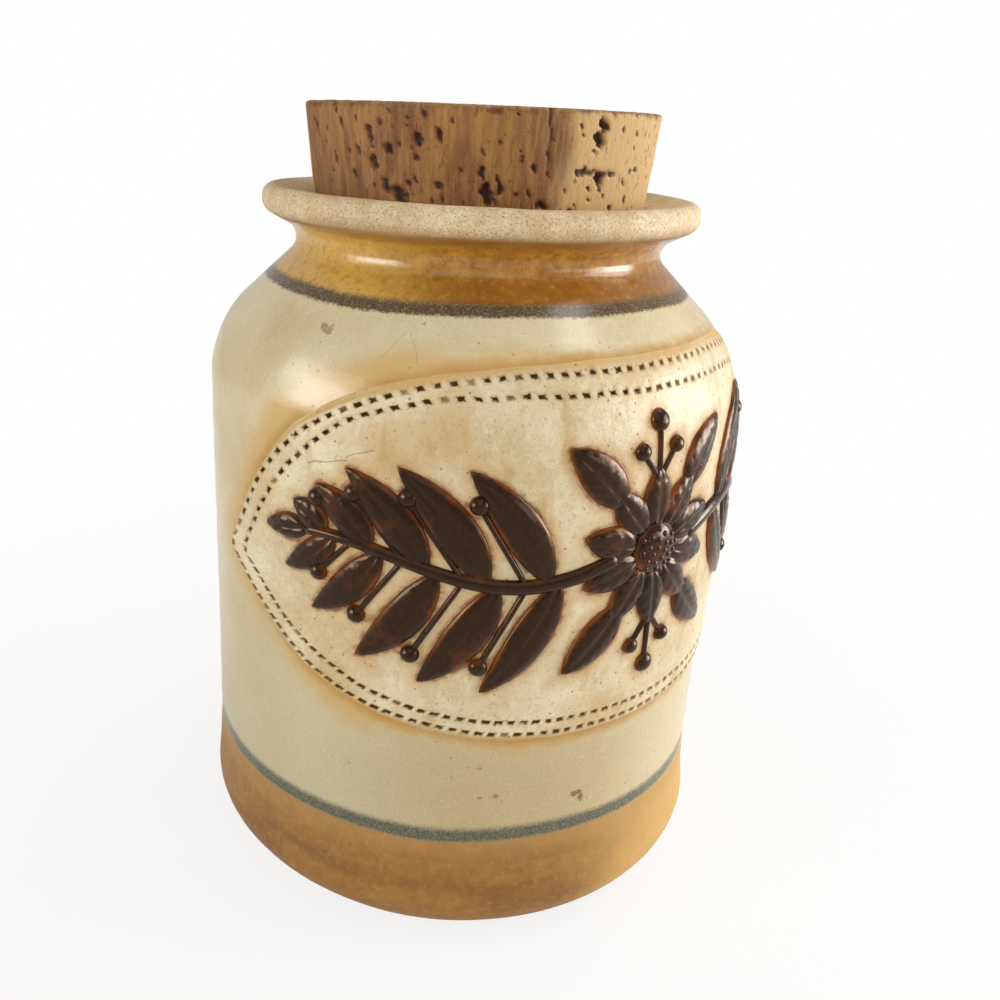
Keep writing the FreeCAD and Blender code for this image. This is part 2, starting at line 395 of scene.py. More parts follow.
# Wear and kiln marks: spots as (degrees round from the front, mm up, half width, half height, strength)
# and hairlines as (degrees round, mm up, lean in degrees, length in mm, strength)
BODY_SPOTS = [(-70.6, 117.7, 1.2, 0.8, 0.6), (-68.6, 117.2, 0.8, 1.0, 0.6), (-66.9, 105.5, 0.5, 0.3, 0.6),
              (-31.6, 34.2, 0.6, 0.45, 0.7), (-28.6, 34.4, 1.1, 0.8, 0.7), (-11.3, 32.2, 1.5, 0.9, 0.85),
              (-9.9, 31.4, 0.9, 1.2, 0.8), (-31.9, 40.6, 0.5, 0.4, 0.5), (-48.0, 120.0, 0.4, 0.3, 0.5)]
BODY_HAIRLINES = [(-52.4, 116.2, 55, 5.0, 0.25), (-49.9, 116.3, -62, 4.4, 0.25)]
SLAB_SPOTS = [(14.0, 83.0, 0.6, 1.0, 0.8), (-70.5, 83.5, 0.4, 0.3, 0.6), (-57.2, 74.4, 0.5, 0.3, 0.6)]
SLAB_HAIRLINES = [(-62.5, 96.4, 13, 8.0, 0.6), (-56.3, 99.3, 33, 5.5, 0.45)]


def linear(code):
    """An sRGB hex colour as linear values."""
    parts = [int(code[i:i + 2], 16) / 255 for i in (1, 3, 5)]
    return [p / 12.92 if p <= 0.04045 else ((p + 0.055) / 1.055) ** 2.4 for p in parts] + [1.0]


GLAZE_IOR = 1.5


def add(tree, kind, plugs=(), **settings):
    """Adds a node: its settings, then its sockets by name or number, each given a value, a colour or a link."""
    made = tree.nodes.new("ShaderNode" + kind)
    for name, value in settings.items():
        setattr(made, name, value)
    for name, value in dict(plugs).items():
        socket = (made.inputs[name] if isinstance(name, int)
                  else next(found for found in made.inputs if found.name == name and found.enabled))
        if isinstance(value, bpy.types.Node):
            value = next(output for output in value.outputs if output.enabled)
        if isinstance(value, bpy.types.NodeSocket):
            tree.links.new(value, socket)
        else:
            socket.default_value = linear(value) if isinstance(value, str) else value
    return made


def per_metre(feature):
    """The noise scale at which features are about that many millimetres across."""
    return 1 / (feature * MM)


def cleared_tree(holder):
    """The emptied node tree of a material or a world."""
    holder.use_nodes = True
    holder.node_tree.nodes.clear()
    return holder.node_tree


def new_material(name):
    """A material with its shader in place, and the object's own coordinates."""
    material = bpy.data.materials.new(name)
    tree = cleared_tree(material)
    shader = add(tree, "BsdfPrincipled")
    add(tree, "OutputMaterial", {"Surface": shader})
    return material, tree, shader, add(tree, "TexCoord").outputs["Object"]


def coat(tree, under, over, pattern, low, high, strength=1.0):
    """Lays one colour over another where a pattern goes from low to high, or down to it."""
    share = add(tree, "MapRange", {"Value": pattern, "From Min": low, "From Max": high, "To Max": strength},
                interpolation_type="SMOOTHSTEP")
    return add(tree, "Mix", {"Factor": share, "A": under, "B": over}, data_type="RGBA")


def coats(tree, colour, layers):
    """Lays coats in their order, each (over, pattern, low, high) and perhaps a strength."""
    for layer in layers:
        colour = coat(tree, colour, *layer)
    return colour


def banded(tree, under, over, level, start, full, fade, gone, strength=1.0):
    """Lays a colour over another in a band: it comes in from start to full and goes from fade to gone."""
    rise = add(tree, "MapRange", {"Value": level, "From Min": start, "From Max": full, "To Max": strength},
               interpolation_type="SMOOTHSTEP")
    fall = add(tree, "MapRange", {"Value": level, "From Min": gone, "From Max": fade},
               interpolation_type="SMOOTHSTEP")
    share = add(tree, "Math", {0: rise, 1: fall}, operation="MULTIPLY")
    return add(tree, "Mix", {"Factor": share, "A": under, "B": over}, data_type="RGBA")


def about(tree, place, turn, radius, up, lean=0.0):
    """Millimetres from a point of the wall: along it, away from its face, and up, turned by lean degrees."""
    angle = math.radians(turn)
    centre = (radius * MM * math.sin(angle), -radius * MM * math.cos(angle), up * MM)
    local = add(tree, "Mapping", {"Vector": place, "Location": centre, "Scale": (MM, MM, MM),
                                  "Rotation": (0, math.radians(-lean), angle)}, vector_type="TEXTURE")
    parts = add(tree, "SeparateXYZ", {"Vector": local})
    deep = add(tree, "Math", {0: parts.outputs["Y"]}, operation="ABSOLUTE")
    return parts.outputs["X"], deep, parts.outputs["Z"]


def blotted(tree, under, over, place, ragged, spots, radius_of):
    """Lays ragged little spots of a colour on the wall."""
    for turn, up, across, tall, strength in spots:
        along, deep, over_it = about(tree, place, turn, radius_of(up), up)
        shape = add(tree, "CombineXYZ", {"X": along, "Y": deep, "Z": over_it})
        shape = add(tree, "VectorMath", {0: shape, 1: (1 / across, 1 / 9.0, 1 / tall)}, operation="MULTIPLY")
        reach = add(tree, "VectorMath", {0: shape}, operation="LENGTH")
        reach = add(tree, "Math", {0: ragged, 1: 2.4, 2: reach}, operation="MULTIPLY_ADD")
        under = coat(tree, under, over, reach, 2.2, 1.6, strength)
    return under


def cracked(tree, under, over, place, wandering, hairlines, radius_of, width):
    """Lays thin wandering hairlines of a colour on the wall."""
    for turn, up, lean, length, strength in hairlines:
        along, deep, over_it = about(tree, place, turn, radius_of(up), up, lean)
        line = add(tree, "Math", {0: wandering, 1: 7.0, 2: over_it}, operation="MULTIPLY_ADD")
        line = add(tree, "Math", {0: line, 1: 3.5, 2: width}, operation="COMPARE")
        ends = add(tree, "Math", {0: along, 1: 0.0, 2: length / 2}, operation="COMPARE")
        near = add(tree, "Math", {0: deep, 1: 9.0}, operation="LESS_THAN")
        share = add(tree, "Math", {0: line, 1: ends}, operation="MULTIPLY")
        share = add(tree, "Math", {0: share, 1: near}, operation="MULTIPLY")
        under = coat(tree, under, over, share, 0.0, 1.0, strength)
    return under


def finish_glaze(tree, shader, colour, rough, relief, strength, depth):
    """Gives the shader its colour, its roughness, and a bump of that strength and depth in mm."""
    tree.links.new(colour.outputs[2], shader.inputs["Base Color"])
    tree.links.new(rough.outputs[0], shader.inputs["Roughness"])
    shader.inputs["IOR"].default_value = GLAZE_IOR
    dent = add(tree, "Bump", {"Height": relief, "Strength": strength, "Distance": depth * MM})
    tree.links.new(dent.outputs["Normal"], shader.inputs["Normal"])


def body_glaze():
    """Reduction-fired stoneware under a satin oatmeal glaze, with honey glaze at the neck and bare clay
    at the lip and foot. The eye sees soft bands that bleed into each other, a glassy neck and a dry lip."""
    material, tree, shader, place = new_material("stoneware_satin_glaze")
    sway = add(tree, "TexNoise", {"Vector": place, "Scale": per_metre(45.0), "Detail": 1.0})
    cloud = add(tree, "TexNoise", {"Vector": place, "Scale": per_metre(24.0), "Detail": 3.0})
    mottle = add(tree, "TexNoise", {"Vector": place, "Scale": per_metre(3.0), "Detail": 4.0, "Roughness": 0.6})
    fine = add(tree, "TexNoise", {"Vector": place, "Scale": per_metre(0.5)})
    ragged = add(tree, "TexNoise", {"Vector": place, "Scale": per_metre(0.9)})
    height = add(tree, "SeparateXYZ", {"Vector": place}).outputs["Z"]
    height = add(tree, "Math", {0: height, 1: 1 / MM}, operation="MULTIPLY")
    level = add(tree, "Math", {0: sway, 1: 2.0, 2: height}, operation="MULTIPLY_ADD")
    level = add(tree, "Math", {0: fine, 1: 0.9, 2: level}, operation="MULTIPLY_ADD")
    level = add(tree, "Math", {0: mottle, 1: 0.6, 2: level}, operation="MULTIPLY_ADD")
    level = add(tree, "Math", {0: level, 1: 1.75}, operation="SUBTRACT")

    # the oatmeal glaze, stained ochre round the medallion, warmer at one side and greyer low down; right_lit_side
    # measures how far round towards the right lamps a place lies
    golden = add(tree, "VectorMath", {0: place, 1: (-0.94 / MM, 0.34 / MM, 0)}, operation="DOT_PRODUCT")
    golden = add(tree, "Math", {0: cloud, 1: 30.0, 2: golden}, operation="MULTIPLY_ADD")
    right_lit_side = add(tree, "VectorMath", {0: place, 1: (0.81 / MM, -0.59 / MM, 0)}, operation="DOT_PRODUCT")
    right_lit_side = add(tree, "Math", {0: cloud, 1: 24.0, 2: right_lit_side}, operation="MULTIPLY_ADD")
    speck = add(tree, "TexNoise", {"Vector": place, "Scale": per_metre(0.36), "Detail": 1.0})
    cream = coat(tree, "#DACBA6", "#CEBC90", cloud, 0.35, 0.68)
    cream = coat(tree, cream, "#E0D3B1", mottle, 0.4, 0.75, 0.6)
    cream = coat(tree, cream, "#BCA268", golden, 54.0, 72.0, 0.6)
    low = coat(tree, "#C0B694", "#B8A277", golden, 56.0, 34.0)
    # painted light: the lower wall made paler on the side that the right lamps face
    low = coat(tree, low, "#DCCBA2", right_lit_side, 32.0, 62.0, 0.8)
    cream = coats(tree, cream, [
        (low, height, 74.0, 34.0, 0.8),
        ("#AE9869", speck, 0.48, 0.2, 0.4),
        ("#EADFC0", speck, 0.55, 0.8, 0.3)])
    halo = add(tree, "Attribute", attribute_name="halo").outputs["Fac"]
    wide = add(tree, "Math", {0: cloud, 1: 12.0, 2: halo}, operation="MULTIPLY_ADD")
    narrow = add(tree, "MapRange", {"Value": right_lit_side, "From Min": -8.0, "From Max": 46.0, "To Max": 5.5})
    wide = add(tree, "Math", {0: narrow, 1: wide}, operation="ADD")
    cream = coat(tree, cream, "#C79F4A", wide, 14.0, 7.5, 0.72)
    close = add(tree, "Math", {0: mottle, 1: 2.4, 2: halo}, operation="MULTIPLY_ADD")
    cream = coat(tree, cream, "#B88230", close, 4.2, 1.3, 0.75)
    pinholes = add(tree, "TexVoronoi", {"Vector": place, "Scale": per_metre(3.0)})
    cream = coat(tree, cream, "#8A744C", pinholes, 0.09, 0.05, 0.6)
    cream = blotted(tree, cream, "#7A5224", place, ragged, BODY_SPOTS, wall_radius)
    cream = cracked(tree, cream, "#7E6945", place, cloud, BODY_HAIRLINES, wall_radius, 0.1)

    # honey glaze of the neck, thin and golden on one side and pooled brown low down
    grit = add(tree, "TexNoise", {"Vector": place, "Scale": per_metre(1.3), "Detail": 3.0, "Roughness": 0.6})
    honey = coat(tree, "#A36C23", "#BE8A39", mottle, 0.32, 0.7)
    honey = coats(tree, honey, [
        ("#8E5A1A", height, 129.5, 124.2, 0.7),
        ("#7C4914", grit, 0.5, 0.3, 0.6),
        ("#CF9A40", grit, 0.54, 0.74, 0.5),
        ("#E2BA5A", golden, 26.0, 48.0, 0.7),
        ("#9C6A22", grit, 0.48, 0.3, 0.5),
        ("#7C4C1C", speck, 0.5, 0.2, 0.4)])

    # bare clay: washed brown at the foot and made paler on its right side with painted light, pale and dry at the lip
    strokes = add(tree, "Mapping", {"Vector": place, "Scale": (1, 1, 5), "Location": (0.3, 0.2, 0.1)})
    strokes = add(tree, "TexNoise", {"Vector": strokes, "Scale": per_metre(30.0), "Detail": 3.0})
    foot = coat(tree, "#93611E", "#A3732E", mottle, 0.3, 0.7)
    foot = coats(tree, foot, [
        ("#7E5016", strokes, 0.42, 0.64, 0.7),
        ("#B0843E", grit, 0.5, 0.75, 0.5),
        ("#7A4D18", grit, 0.46, 0.25, 0.5),
        # painted light: the foot made paler on the side that the right lamps face
        ("#D2A75A", right_lit_side, 28.0, 58.0, 0.8),
        ("#B68B4C", level, 17.0, 23.5, 0.5)])
    biscuit = coat(tree, "#CDB589", "#E4D2AE", mottle, 0.35, 0.7)
    biscuit = coats(tree, biscuit, [
        ("#B4935F", cloud, 0.48, 0.62, 0.4),
        # darker towards the lip's lower edge: a brown fringe at the glaze line, deepened with painted shade
        ("#A5834F", height, 136.4, 133.8, 0.5),
        ("#8E6A3A", speck, 0.52, 0.25, 0.65),
        ("#F0E2C4", speck, 0.55, 0.8, 0.4)])

    colour = coat(tree, cream, foot, level, 24.9, 24.1)
    slate = coat(tree, "#42463A", "#707258", speck, 0.4, 0.7)
    colour = banded(tree, colour, slate, level, 24.0, 24.9, 26.4, 28.2, 0.95)
    colour = coat(tree, colour, honey, level, 122.5, 123.2)
    umber = coat(tree, "#3F2A10", "#8E7040", speck, 0.46, 0.76)
    colour = banded(tree, colour, umber, level, 120.9, 121.5, 122.6, 123.6, 0.95)
    colour = coat(tree, colour, biscuit, level, 133.0, 133.7)
    colour = banded(tree, colour, "#8C5A20", level, 131.8, 133.0, 133.4, 134.6, 0.7)

    glassy = add(tree, "MapRange", {"Value": height, "From Min": 121.5, "From Max": 124.5})
    dry_lip = add(tree, "MapRange", {"Value": height, "From Min": 133.2, "From Max": 133.9})
    dry_foot = add(tree, "MapRange", {"Value": level, "From Min": 25.0, "From Max": 23.0, "To Max": 0.6})
    dry = add(tree, "Math", {0: dry_lip, 1: dry_foot}, operation="MAXIMUM")
    rough = add(tree, "Math", {0: mottle, 1: 0.12, 2: 0.12}, operation="MULTIPLY_ADD")
    rough = add(tree, "Math", {0: glassy, 1: -0.01, 2: rough}, operation="MULTIPLY_ADD")
    rough = add(tree, "Math", {0: dry, 1: 0.5, 2: rough}, operation="MULTIPLY_ADD")
    relief = add(tree, "Math", {0: fine, 1: 0.4, 2: mottle}, operation="MULTIPLY_ADD")
    strength = add(tree, "Math", {0: dry, 1: 1.4, 2: 0.35}, operation="MULTIPLY_ADD")
    relief = add(tree, "Math", {0: relief, 1: strength}, operation="MULTIPLY")
    finish_glaze(tree, shader, colour, rough, relief, 0.4, 0.25)
    return material


def dashes(tree, ragged):
    """How far a place of the slab lies outside the roulette's dashes in mm, and a number for each dash."""
    sheet = add(tree, "UVMap", uv_map="roulette")
    parts = add(tree, "SeparateXYZ", {"Vector": sheet})
    run = add(tree, "Math", {0: parts.outputs["X"]}, operation="FRACT")
    run = add(tree, "Math", {0: run, 1: 0.5}, operation="SUBTRACT")
    run = add(tree, "Math", {0: run}, operation="ABSOLUTE")
    run = add(tree, "Math", {0: run, 1: MARK_PITCH, 2: -MARK_LENGTH / 2}, operation="MULTIPLY_ADD")
    row = add(tree, "Math", {0: parts.outputs["Y"], 1: 2.5}, operation="SUBTRACT")
    row = add(tree, "Math", {0: row}, operation="ABSOLUTE")
    row = add(tree, "Math", {0: row, 1: 1.5}, operation="SUBTRACT")
    row = add(tree, "Math", {0: row}, operation="ABSOLUTE")
    row = add(tree, "Math", {0: row, 1: MARK_HEIGHT / 2}, operation="SUBTRACT")
    outside = add(tree, "Math", {0: run, 1: row}, operation="MAXIMUM")
    outside = add(tree, "Math", {0: ragged, 1: 0.9, 2: outside}, operation="MULTIPLY_ADD")
    number = add(tree, "VectorMath", {0: sheet, 1: (1, 0.4, 0)}, operation="MULTIPLY")
    number = add(tree, "VectorMath", {0: number}, operation="FLOOR")
    number = add(tree, "TexWhiteNoise", {"Vector": number}, noise_dimensions="2D")
    return outside, number


def medallion_glaze():
    """The same oatmeal glaze over a pressed slab of clay, rubbed with iron oxide: paler, with stain in
    the roulette's dashes and a rusty bloom round the relief."""
    material, tree, shader, place = new_material("stoneware_stained_slab")
    cloud = add(tree, "TexNoise", {"Vector": place, "Scale": per_metre(13.0), "Detail": 4.0})
    shifted = add(tree, "Mapping", {"Vector": place, "Location": (0.5, 0.1, 0.3)})
    patch = add(tree, "TexNoise", {"Vector": shifted, "Scale": per_metre(17.0), "Detail": 5.0, "Roughness": 0.6})
    mottle = add(tree, "TexNoise", {"Vector": place, "Scale": per_metre(2.2), "Detail": 4.0, "Roughness": 0.65})
    fine = add(tree, "TexNoise", {"Vector": place, "Scale": per_metre(0.5)})
    ragged = add(tree, "TexNoise", {"Vector": place, "Scale": per_metre(0.8), "Detail": 3.0})
    cream = coat(tree, "#E2D4B1", "#CFBA8E", cloud, 0.33, 0.7)
    cream = coats(tree, cream, [
        ("#E6DABA", mottle, 0.45, 0.75, 0.6),
        ("#B59C6C", mottle, 0.42, 0.28, 0.5),
        ("#C39F5C", patch, 0.5, 0.68, 0.5),
        ("#A98E5C", fine, 0.48, 0.22, 0.5)])
    runs = add(tree, "Mapping", {"Vector": place, "Scale": (1, 1, 0.3)})
    runs = add(tree, "TexNoise", {"Vector": runs, "Scale": per_metre(3.5), "Detail": 3.0})
    cream = coat(tree, cream, "#B8934F", runs, 0.56, 0.74, 0.55)
    near = add(tree, "Attribute", attribute_name="near").outputs["Fac"]
    bloom = add(tree, "Math", {0: cloud, 1: 7.0, 2: near}, operation="MULTIPLY_ADD")
    cream = coat(tree, cream, "#BC8C42", bloom, 6.0, 3.4, 0.6)
    close = add(tree, "Math", {0: mottle, 1: 1.2, 2: near}, operation="MULTIPLY_ADD")
    cream = coat(tree, cream, "#7A4516", close, 1.4, 0.7, 0.85)
    rim = add(tree, "Attribute", attribute_name="rim").outputs["Fac"]
    worn = add(tree, "Math", {0: cloud, 1: 3.0, 2: rim}, operation="MULTIPLY_ADD")
    cream = coat(tree, cream, "#C4973F", worn, 2.9, 1.4, 0.75)
    pinholes = add(tree, "TexVoronoi", {"Vector": place, "Scale": per_metre(2.2)})
    pinholes = add(tree, "Math", {0: cloud, 1: 0.16, 2: pinholes}, operation="MULTIPLY_ADD")
    cream = coat(tree, cream, "#6F5732", pinholes, 0.21, 0.14, 0.75)
    cream = blotted(tree, cream, "#8A4A1C", place, ragged, SLAB_SPOTS, wall_radius)
    cream = cracked(tree, cream, "#5F5440", place, cloud, SLAB_HAIRLINES, wall_radius, 0.14)

    outside, number = dashes(tree, ragged)
    cream = coat(tree, cream, "#94733F", outside, 1.0, 0.4, 0.45)
    height = add(tree, "SeparateXYZ", {"Vector": place}).outputs["Z"]
    stain = coat(tree, "#523D1C", "#3E250F", height, 0.055, 0.085)
    weaker = add(tree, "VectorMath", {0: place, 1: (0.81, -0.59, -0.9)}, operation="DOT_PRODUCT")
    stain = coat(tree, stain, "#8A6E3C", weaker, -0.034, -0.002, 0.75)
    thinner = add(tree, "VectorMath", {0: place, 1: (-0.94, 0.34, -0.5)}, operation="DOT_PRODUCT")
    stain = coat(tree, stain, "#8A7446", thinner, 0.004, 0.016, 0.65)
    limb = add(tree, "VectorMath", {0: place, 1: (0.81, -0.59, 0)}, operation="DOT_PRODUCT")
    stain = coat(tree, stain, "#9C7C48", limb, 0.022, 0.044, 0.85)
    dashed = coat(tree, cream, stain, outside, 0.60, 0.28)
    faint = add(tree, "Math", {0: number, 1: cloud}, operation="ADD")
    rubbed = coat(tree, cream, "#8C6E3E", outside, 0.62, 0.34, 0.7)
    colour = coat(tree, dashed, rubbed, faint, 0.62, 0.48)
    tint = coat(tree, "#FFFFFF", "#C08C58", outside, 0.6, 0.28)
    tree.links.new(tint.outputs[2], shader.inputs["Specular Tint"])
    rough = add(tree, "Math", {0: mottle, 1: 0.25, 2: 0.3}, operation="MULTIPLY_ADD")
    matt = add(tree, "MapRange", {"Value": outside, "From Min": 0.7, "From Max": 0.3, "To Max": 0.45})
    rough = add(tree, "Math", {0: rough, 1: matt}, operation="ADD")
    lumps = add(tree, "Math", {0: cloud, 1: 1.6, 2: mottle}, operation="MULTIPLY_ADD")
    lumps = add(tree, "Math", {0: fine, 1: 0.3, 2: lumps}, operation="MULTIPLY_ADD")
    finish_glaze(tree, shader, colour, rough, lumps, 0.5, 0.35)
    return material


def iron_glaze():
    """Thick iron glaze trailed over the relief: brown-black and wet-looking where it pools, breaking to
    rust where it runs thin at the edges."""
    material, tree, shader, place = new_material("iron_brown_gloss_glaze")
    cloud = add(tree, "TexNoise", {"Vector": place, "Scale": per_metre(6.0), "Detail": 4.0})
    mottle = add(tree, "TexNoise", {"Vector": place, "Scale": per_metre(0.9), "Detail": 3.0})
    thin = add(tree, "Attribute", attribute_name="thin").outputs["Fac"]
    thin = add(tree, "Math", {0: cloud, 1: 1.6, 2: thin}, operation="MULTIPLY_ADD")
    colour = coat(tree, "#1C1009", "#2B180C", mottle, 0.4, 0.7)
    colour = coat(tree, colour, "#50250E", cloud, 0.52, 0.7, 0.65)
    colour = coat(tree, colour, "#7E3E10", thin, 1.25, 1.85, 0.9)
    shader.inputs["Specular Tint"].default_value = linear("#E2BC98")
    rough = add(tree, "Math", {0: mottle, 1: 0.14, 2: 0.11}, operation="MULTIPLY_ADD")
    lumps = add(tree, "Math", {0: mottle, 1: 0.15, 2: cloud}, operation="MULTIPLY_ADD")
    finish_glaze(tree, shader, colour, rough, lumps, 0.4, 0.4)
    return material


def cork_bark():
    """Natural cork punched from bark: tan, with a fine upright grain, dark lenticels and dust in them, and
    one paler, yellower side: a paler piece of bark, lightened further with painted light where the right lamps fall."""
    material, tree, shader, place = new_material("natural_cork_cut")
    upright = add(tree, "Mapping", {"Vector": place, "Scale": (1, 1, 0.10)})
    streak = add(tree, "TexNoise", {"Vector": upright, "Scale": per_metre(1.0), "Detail": 4.0, "Roughness": 0.6})
    slower = add(tree, "Mapping", {"Vector": place, "Scale": (1, 1, 0.35)})
    broad = add(tree, "TexNoise", {"Vector": slower, "Scale": per_metre(7.0), "Detail": 3.0})
    cell = add(tree, "TexNoise", {"Vector": place, "Scale": per_metre(0.4)})
    along, _, _ = about(tree, place, 28.0, CORK_TOP, CORK_HIGH.z - 10)
    pale = add(tree, "Math", {0: broad, 1: 12.0, 2: along}, operation="MULTIPLY_ADD")
    colour = coat(tree, "#74431A", "#9A6A31", broad, 0.38, 0.62)
    colour = banded(tree, colour, "#76481C", pale, -26.0, -20.0, -18.0, -14.0, 0.7)
    # painted light over a paler piece of bark: paler and yellower on the side that the right lamps face
    colour = banded(tree, colour, "#CDAC74", pale, -19.0, -13.0, 26.0, 36.0, 0.8)
    height = add(tree, "VectorMath", {0: place, 1: (0, 0, 1 / MM)}, operation="DOT_PRODUCT")
    crown = coat(tree, "#8F6535", "#B98F58", broad, 0.36, 0.6)
    colour = coats(tree, colour, [
        (crown, height, 154.2, 154.8),
        ("#C2934F", streak, 0.4, 0.66, 0.3),
        ("#6B3F18", streak, 0.42, 0.28, 0.35),
        ("#D0AE78", cell, 0.5, 0.8, 0.15)])
    flecks = add(tree, "Mapping", {"Vector": place, "Scale": (1, 1, 0.4), "Location": (0.2, 0.5, 0.1)})
    flecks = add(tree, "TexNoise", {"Vector": flecks, "Scale": per_metre(0.9)})
    colour = coat(tree, colour, "#5A3218", flecks, 0.63, 0.72, 0.6)
    pit = add(tree, "Attribute", attribute_name="pit").outputs["Fac"]
    pit = add(tree, "Math", {0: flecks, 1: 0.6, 2: pit}, operation="MULTIPLY_ADD")
    colour = coat(tree, colour, "#6B3B1A", pit, 0.36, 0.75, 0.8)
    colour = coat(tree, colour, "#3C2110", pit, 0.7, 1.15)
    flat = add(tree, "VectorMath", {0: place, 1: (1 / MM, 1 / MM, 0)}, operation="MULTIPLY")
    outer = add(tree, "VectorMath", {0: flat}, operation="LENGTH")
    brink = add(tree, "Math", {0: outer, 1: height}, operation="ADD")
    brink = add(tree, "Math", {0: flecks, 1: 1.8, 2: brink}, operation="MULTIPLY_ADD")
    brink = add(tree, "Math", {0: broad, 1: 3.0, 2: brink}, operation="MULTIPLY_ADD")
    colour = coat(tree, colour, "#553219", brink, 191.0, 192.6, 0.85)
    tree.links.new(colour.outputs[2], shader.inputs["Base Color"])
    shader.inputs["Roughness"].default_value = 0.8
    relief = add(tree, "Math", {0: streak, 1: 1.5, 2: cell}, operation="MULTIPLY_ADD")
    relief = add(tree, "Math", {0: flecks, 1: -1.2, 2: relief}, operation="MULTIPLY_ADD")
    dent = add(tree, "Bump", {"Height": relief, "Strength": 0.4, "Distance": 0.25 * MM})
    tree.links.new(dent.outputs["Normal"], shader.inputs["Normal"])
    return material


def seen_directly(tree):
    """1 for what the camera sees straight, less in a gloss or through glass, and 0 for the light it gives."""
    seen = add(tree, "LightPath")
    mirrored = add(tree, "Math", {0: seen.outputs["Is Glossy Ray"], 1: seen.outputs["Is Transmission Ray"]},
                   operation="MAXIMUM")
    softer = add(tree, "Math", {0: mirrored, 1: 0.22}, operation="MULTIPLY")
    return add(tree, "Math", {0: seen.outputs["Is Camera Ray"], 1: softer}, operation="MAXIMUM")


def studio_white():
    """Plain pale floor: white to the eye, and it keeps a faint shadow by the jar."""
    material = bpy.data.materials.new("studio_floor")
    tree = cleared_tree(material)
    paper = add(tree, "BsdfDiffuse", {"Color": "#F4F2EE"})
    glow = add(tree, "Emission", {"Color": "#FFFFFF", "Strength": 1.0})
    place = add(tree, "TexCoord").outputs["Object"]
    away = add(tree, "VectorMath", {0: place}, operation="LENGTH")
    far = add(tree, "MapRange", {"Value": away, "From Min": 0.07, "From Max": 0.30, "To Min": 0.82},
              interpolation_type="SMOOTHSTEP")
    share = add(tree, "Math", {0: seen_directly(tree), 1: far}, operation="MULTIPLY")
    both = add(tree, "MixShader", {0: share, 1: paper, 2: glow})
    add(tree, "OutputMaterial", {"Surface": both})
    return material


# ---------------------------------------------------------------- the jar

def set_values(layer_name, bm, value_of):
    """Stores a number per vertex for the material to read."""
    layer = bm.verts.layers.float.get(layer_name) or bm.verts.layers.float.new(layer_name)
    for vert in bm.verts:
        vert[layer] = value_of(vert)


LIP_SIDE = Vector((0.810, -0.587, 0))       # the side that the lip was thrown leaning down to
LIP_LEAN = 0.006                            # by a third of a degree
LIP_SHIFT = 0.45                            # and it stands this far off the axis, in mm
FOOT_SIDE = Vector((0.16, -0.99, 0))        # the foot spreads a little more to this side
FOOT_SPREAD = 0.7
BODY_STEPS = 336
UNDERCUT = 1.8          # the wall is scored this deep under the slab, which leaves room for its marks


def hand_thrown(vert):
    """The potter's slight unevenness, and the lip that leans."""
    place = vert.co
    radius = math.hypot(place.x, place.y)
    if radius < 1 or place.z < 0.5:
        return
    outward = Vector((place.x, place.y, 0)) / radius
    outer = smooth(33.6, 38.5, radius) * smooth(0.0, 6.0, place.z)
    slow = noise.noise(Vector((outward.x * 1.4, outward.y * 1.4, place.z / 34)))
    rings = math.sin(place.z / 5.4 * math.tau / 1.7 + 1.2 * noise.noise(outward * 0.9))
    place += outward * outer * (0.22 * slow + 0.035 * rings)
    lift = smooth(118, 132, place.z) * outer
    across = place.dot(LIP_SIDE)
    place += LIP_SIDE * LIP_SHIFT * lift
    place += outward * outer * 0.3 * bump(place.z, 128, 9)
    place += outward * outer * FOOT_SPREAD * smooth(16, 5, place.z) * max(0.0, outward.dot(FOOT_SIDE))
    place.z -= across * LIP_LEAN * lift
    if place.z > 136:
        place.z += 0.12 * outer * noise.noise(place / 9)


def slab_reach(count=720):
    """How far the scored wall reaches from the slab's centre at each of many even headings, laid flat."""
    reach = [0.0] * count
    for point in edge_points(count * 4, -0.2):
        heading = int(math.atan2(point.y, point.x) % math.tau / math.tau * count)
        reach[heading] = max(reach[heading], point.length)
    return reach


def under_slab(place, reach):
    """Whether that place of the wall is well under the medallion's slab."""
    along = math.atan2(place.x, -place.y) * WALL
    up = place.z - MEDALLION_CENTRE
    flat = Vector((along * math.cos(MEDALLION_TILT) + up * math.sin(MEDALLION_TILT),
                   up * math.cos(MEDALLION_TILT) - along * math.sin(MEDALLION_TILT)))
    heading = int(math.atan2(flat.y, flat.x) % math.tau / math.tau * len(reach))
    return flat.length < reach[heading]


def make_jar_body():
    bm = turned(JAR_CORNERS, BODY_STEPS)
    return bm, wall_profile(bm)


def finish_jar_body(bm):
    edge = tree_of([onto_wall(point) for point in edge_points(EDGE_POINTS, EDGE_BEYOND)])
    reach = slab_reach()
    set_values("halo", bm, lambda vert: edge.find(vert.co)[2])
    for vert in bm.verts:
        radius = math.hypot(vert.co.x, vert.co.y)
        if radius > NECK and under_slab(vert.co, reach):
            vert.co -= Vector((vert.co.x, vert.co.y, 0)) * (UNDERCUT / radius)
        hand_thrown(vert)
    piece = finish_mesh("jar_body", bm, body_glaze())
    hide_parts("jar")


# ---------------------------------------------------------------- the medallion

def grow_ring(bm, edges, places):
    """Extrudes the open rim and sets the new rim's vertices by their column."""
    column = bm.verts.layers.int["column"]
    made = bmesh.ops.extrude_edge_only(bm, edges=edges)["geom"]
    for vert in (item for item in made if isinstance(item, bmesh.types.BMVert)):
        vert.co = places[vert[column]]
    return ([item for item in made if isinstance(item, bmesh.types.BMEdge)],
            [item for item in made if isinstance(item, bmesh.types.BMFace)])


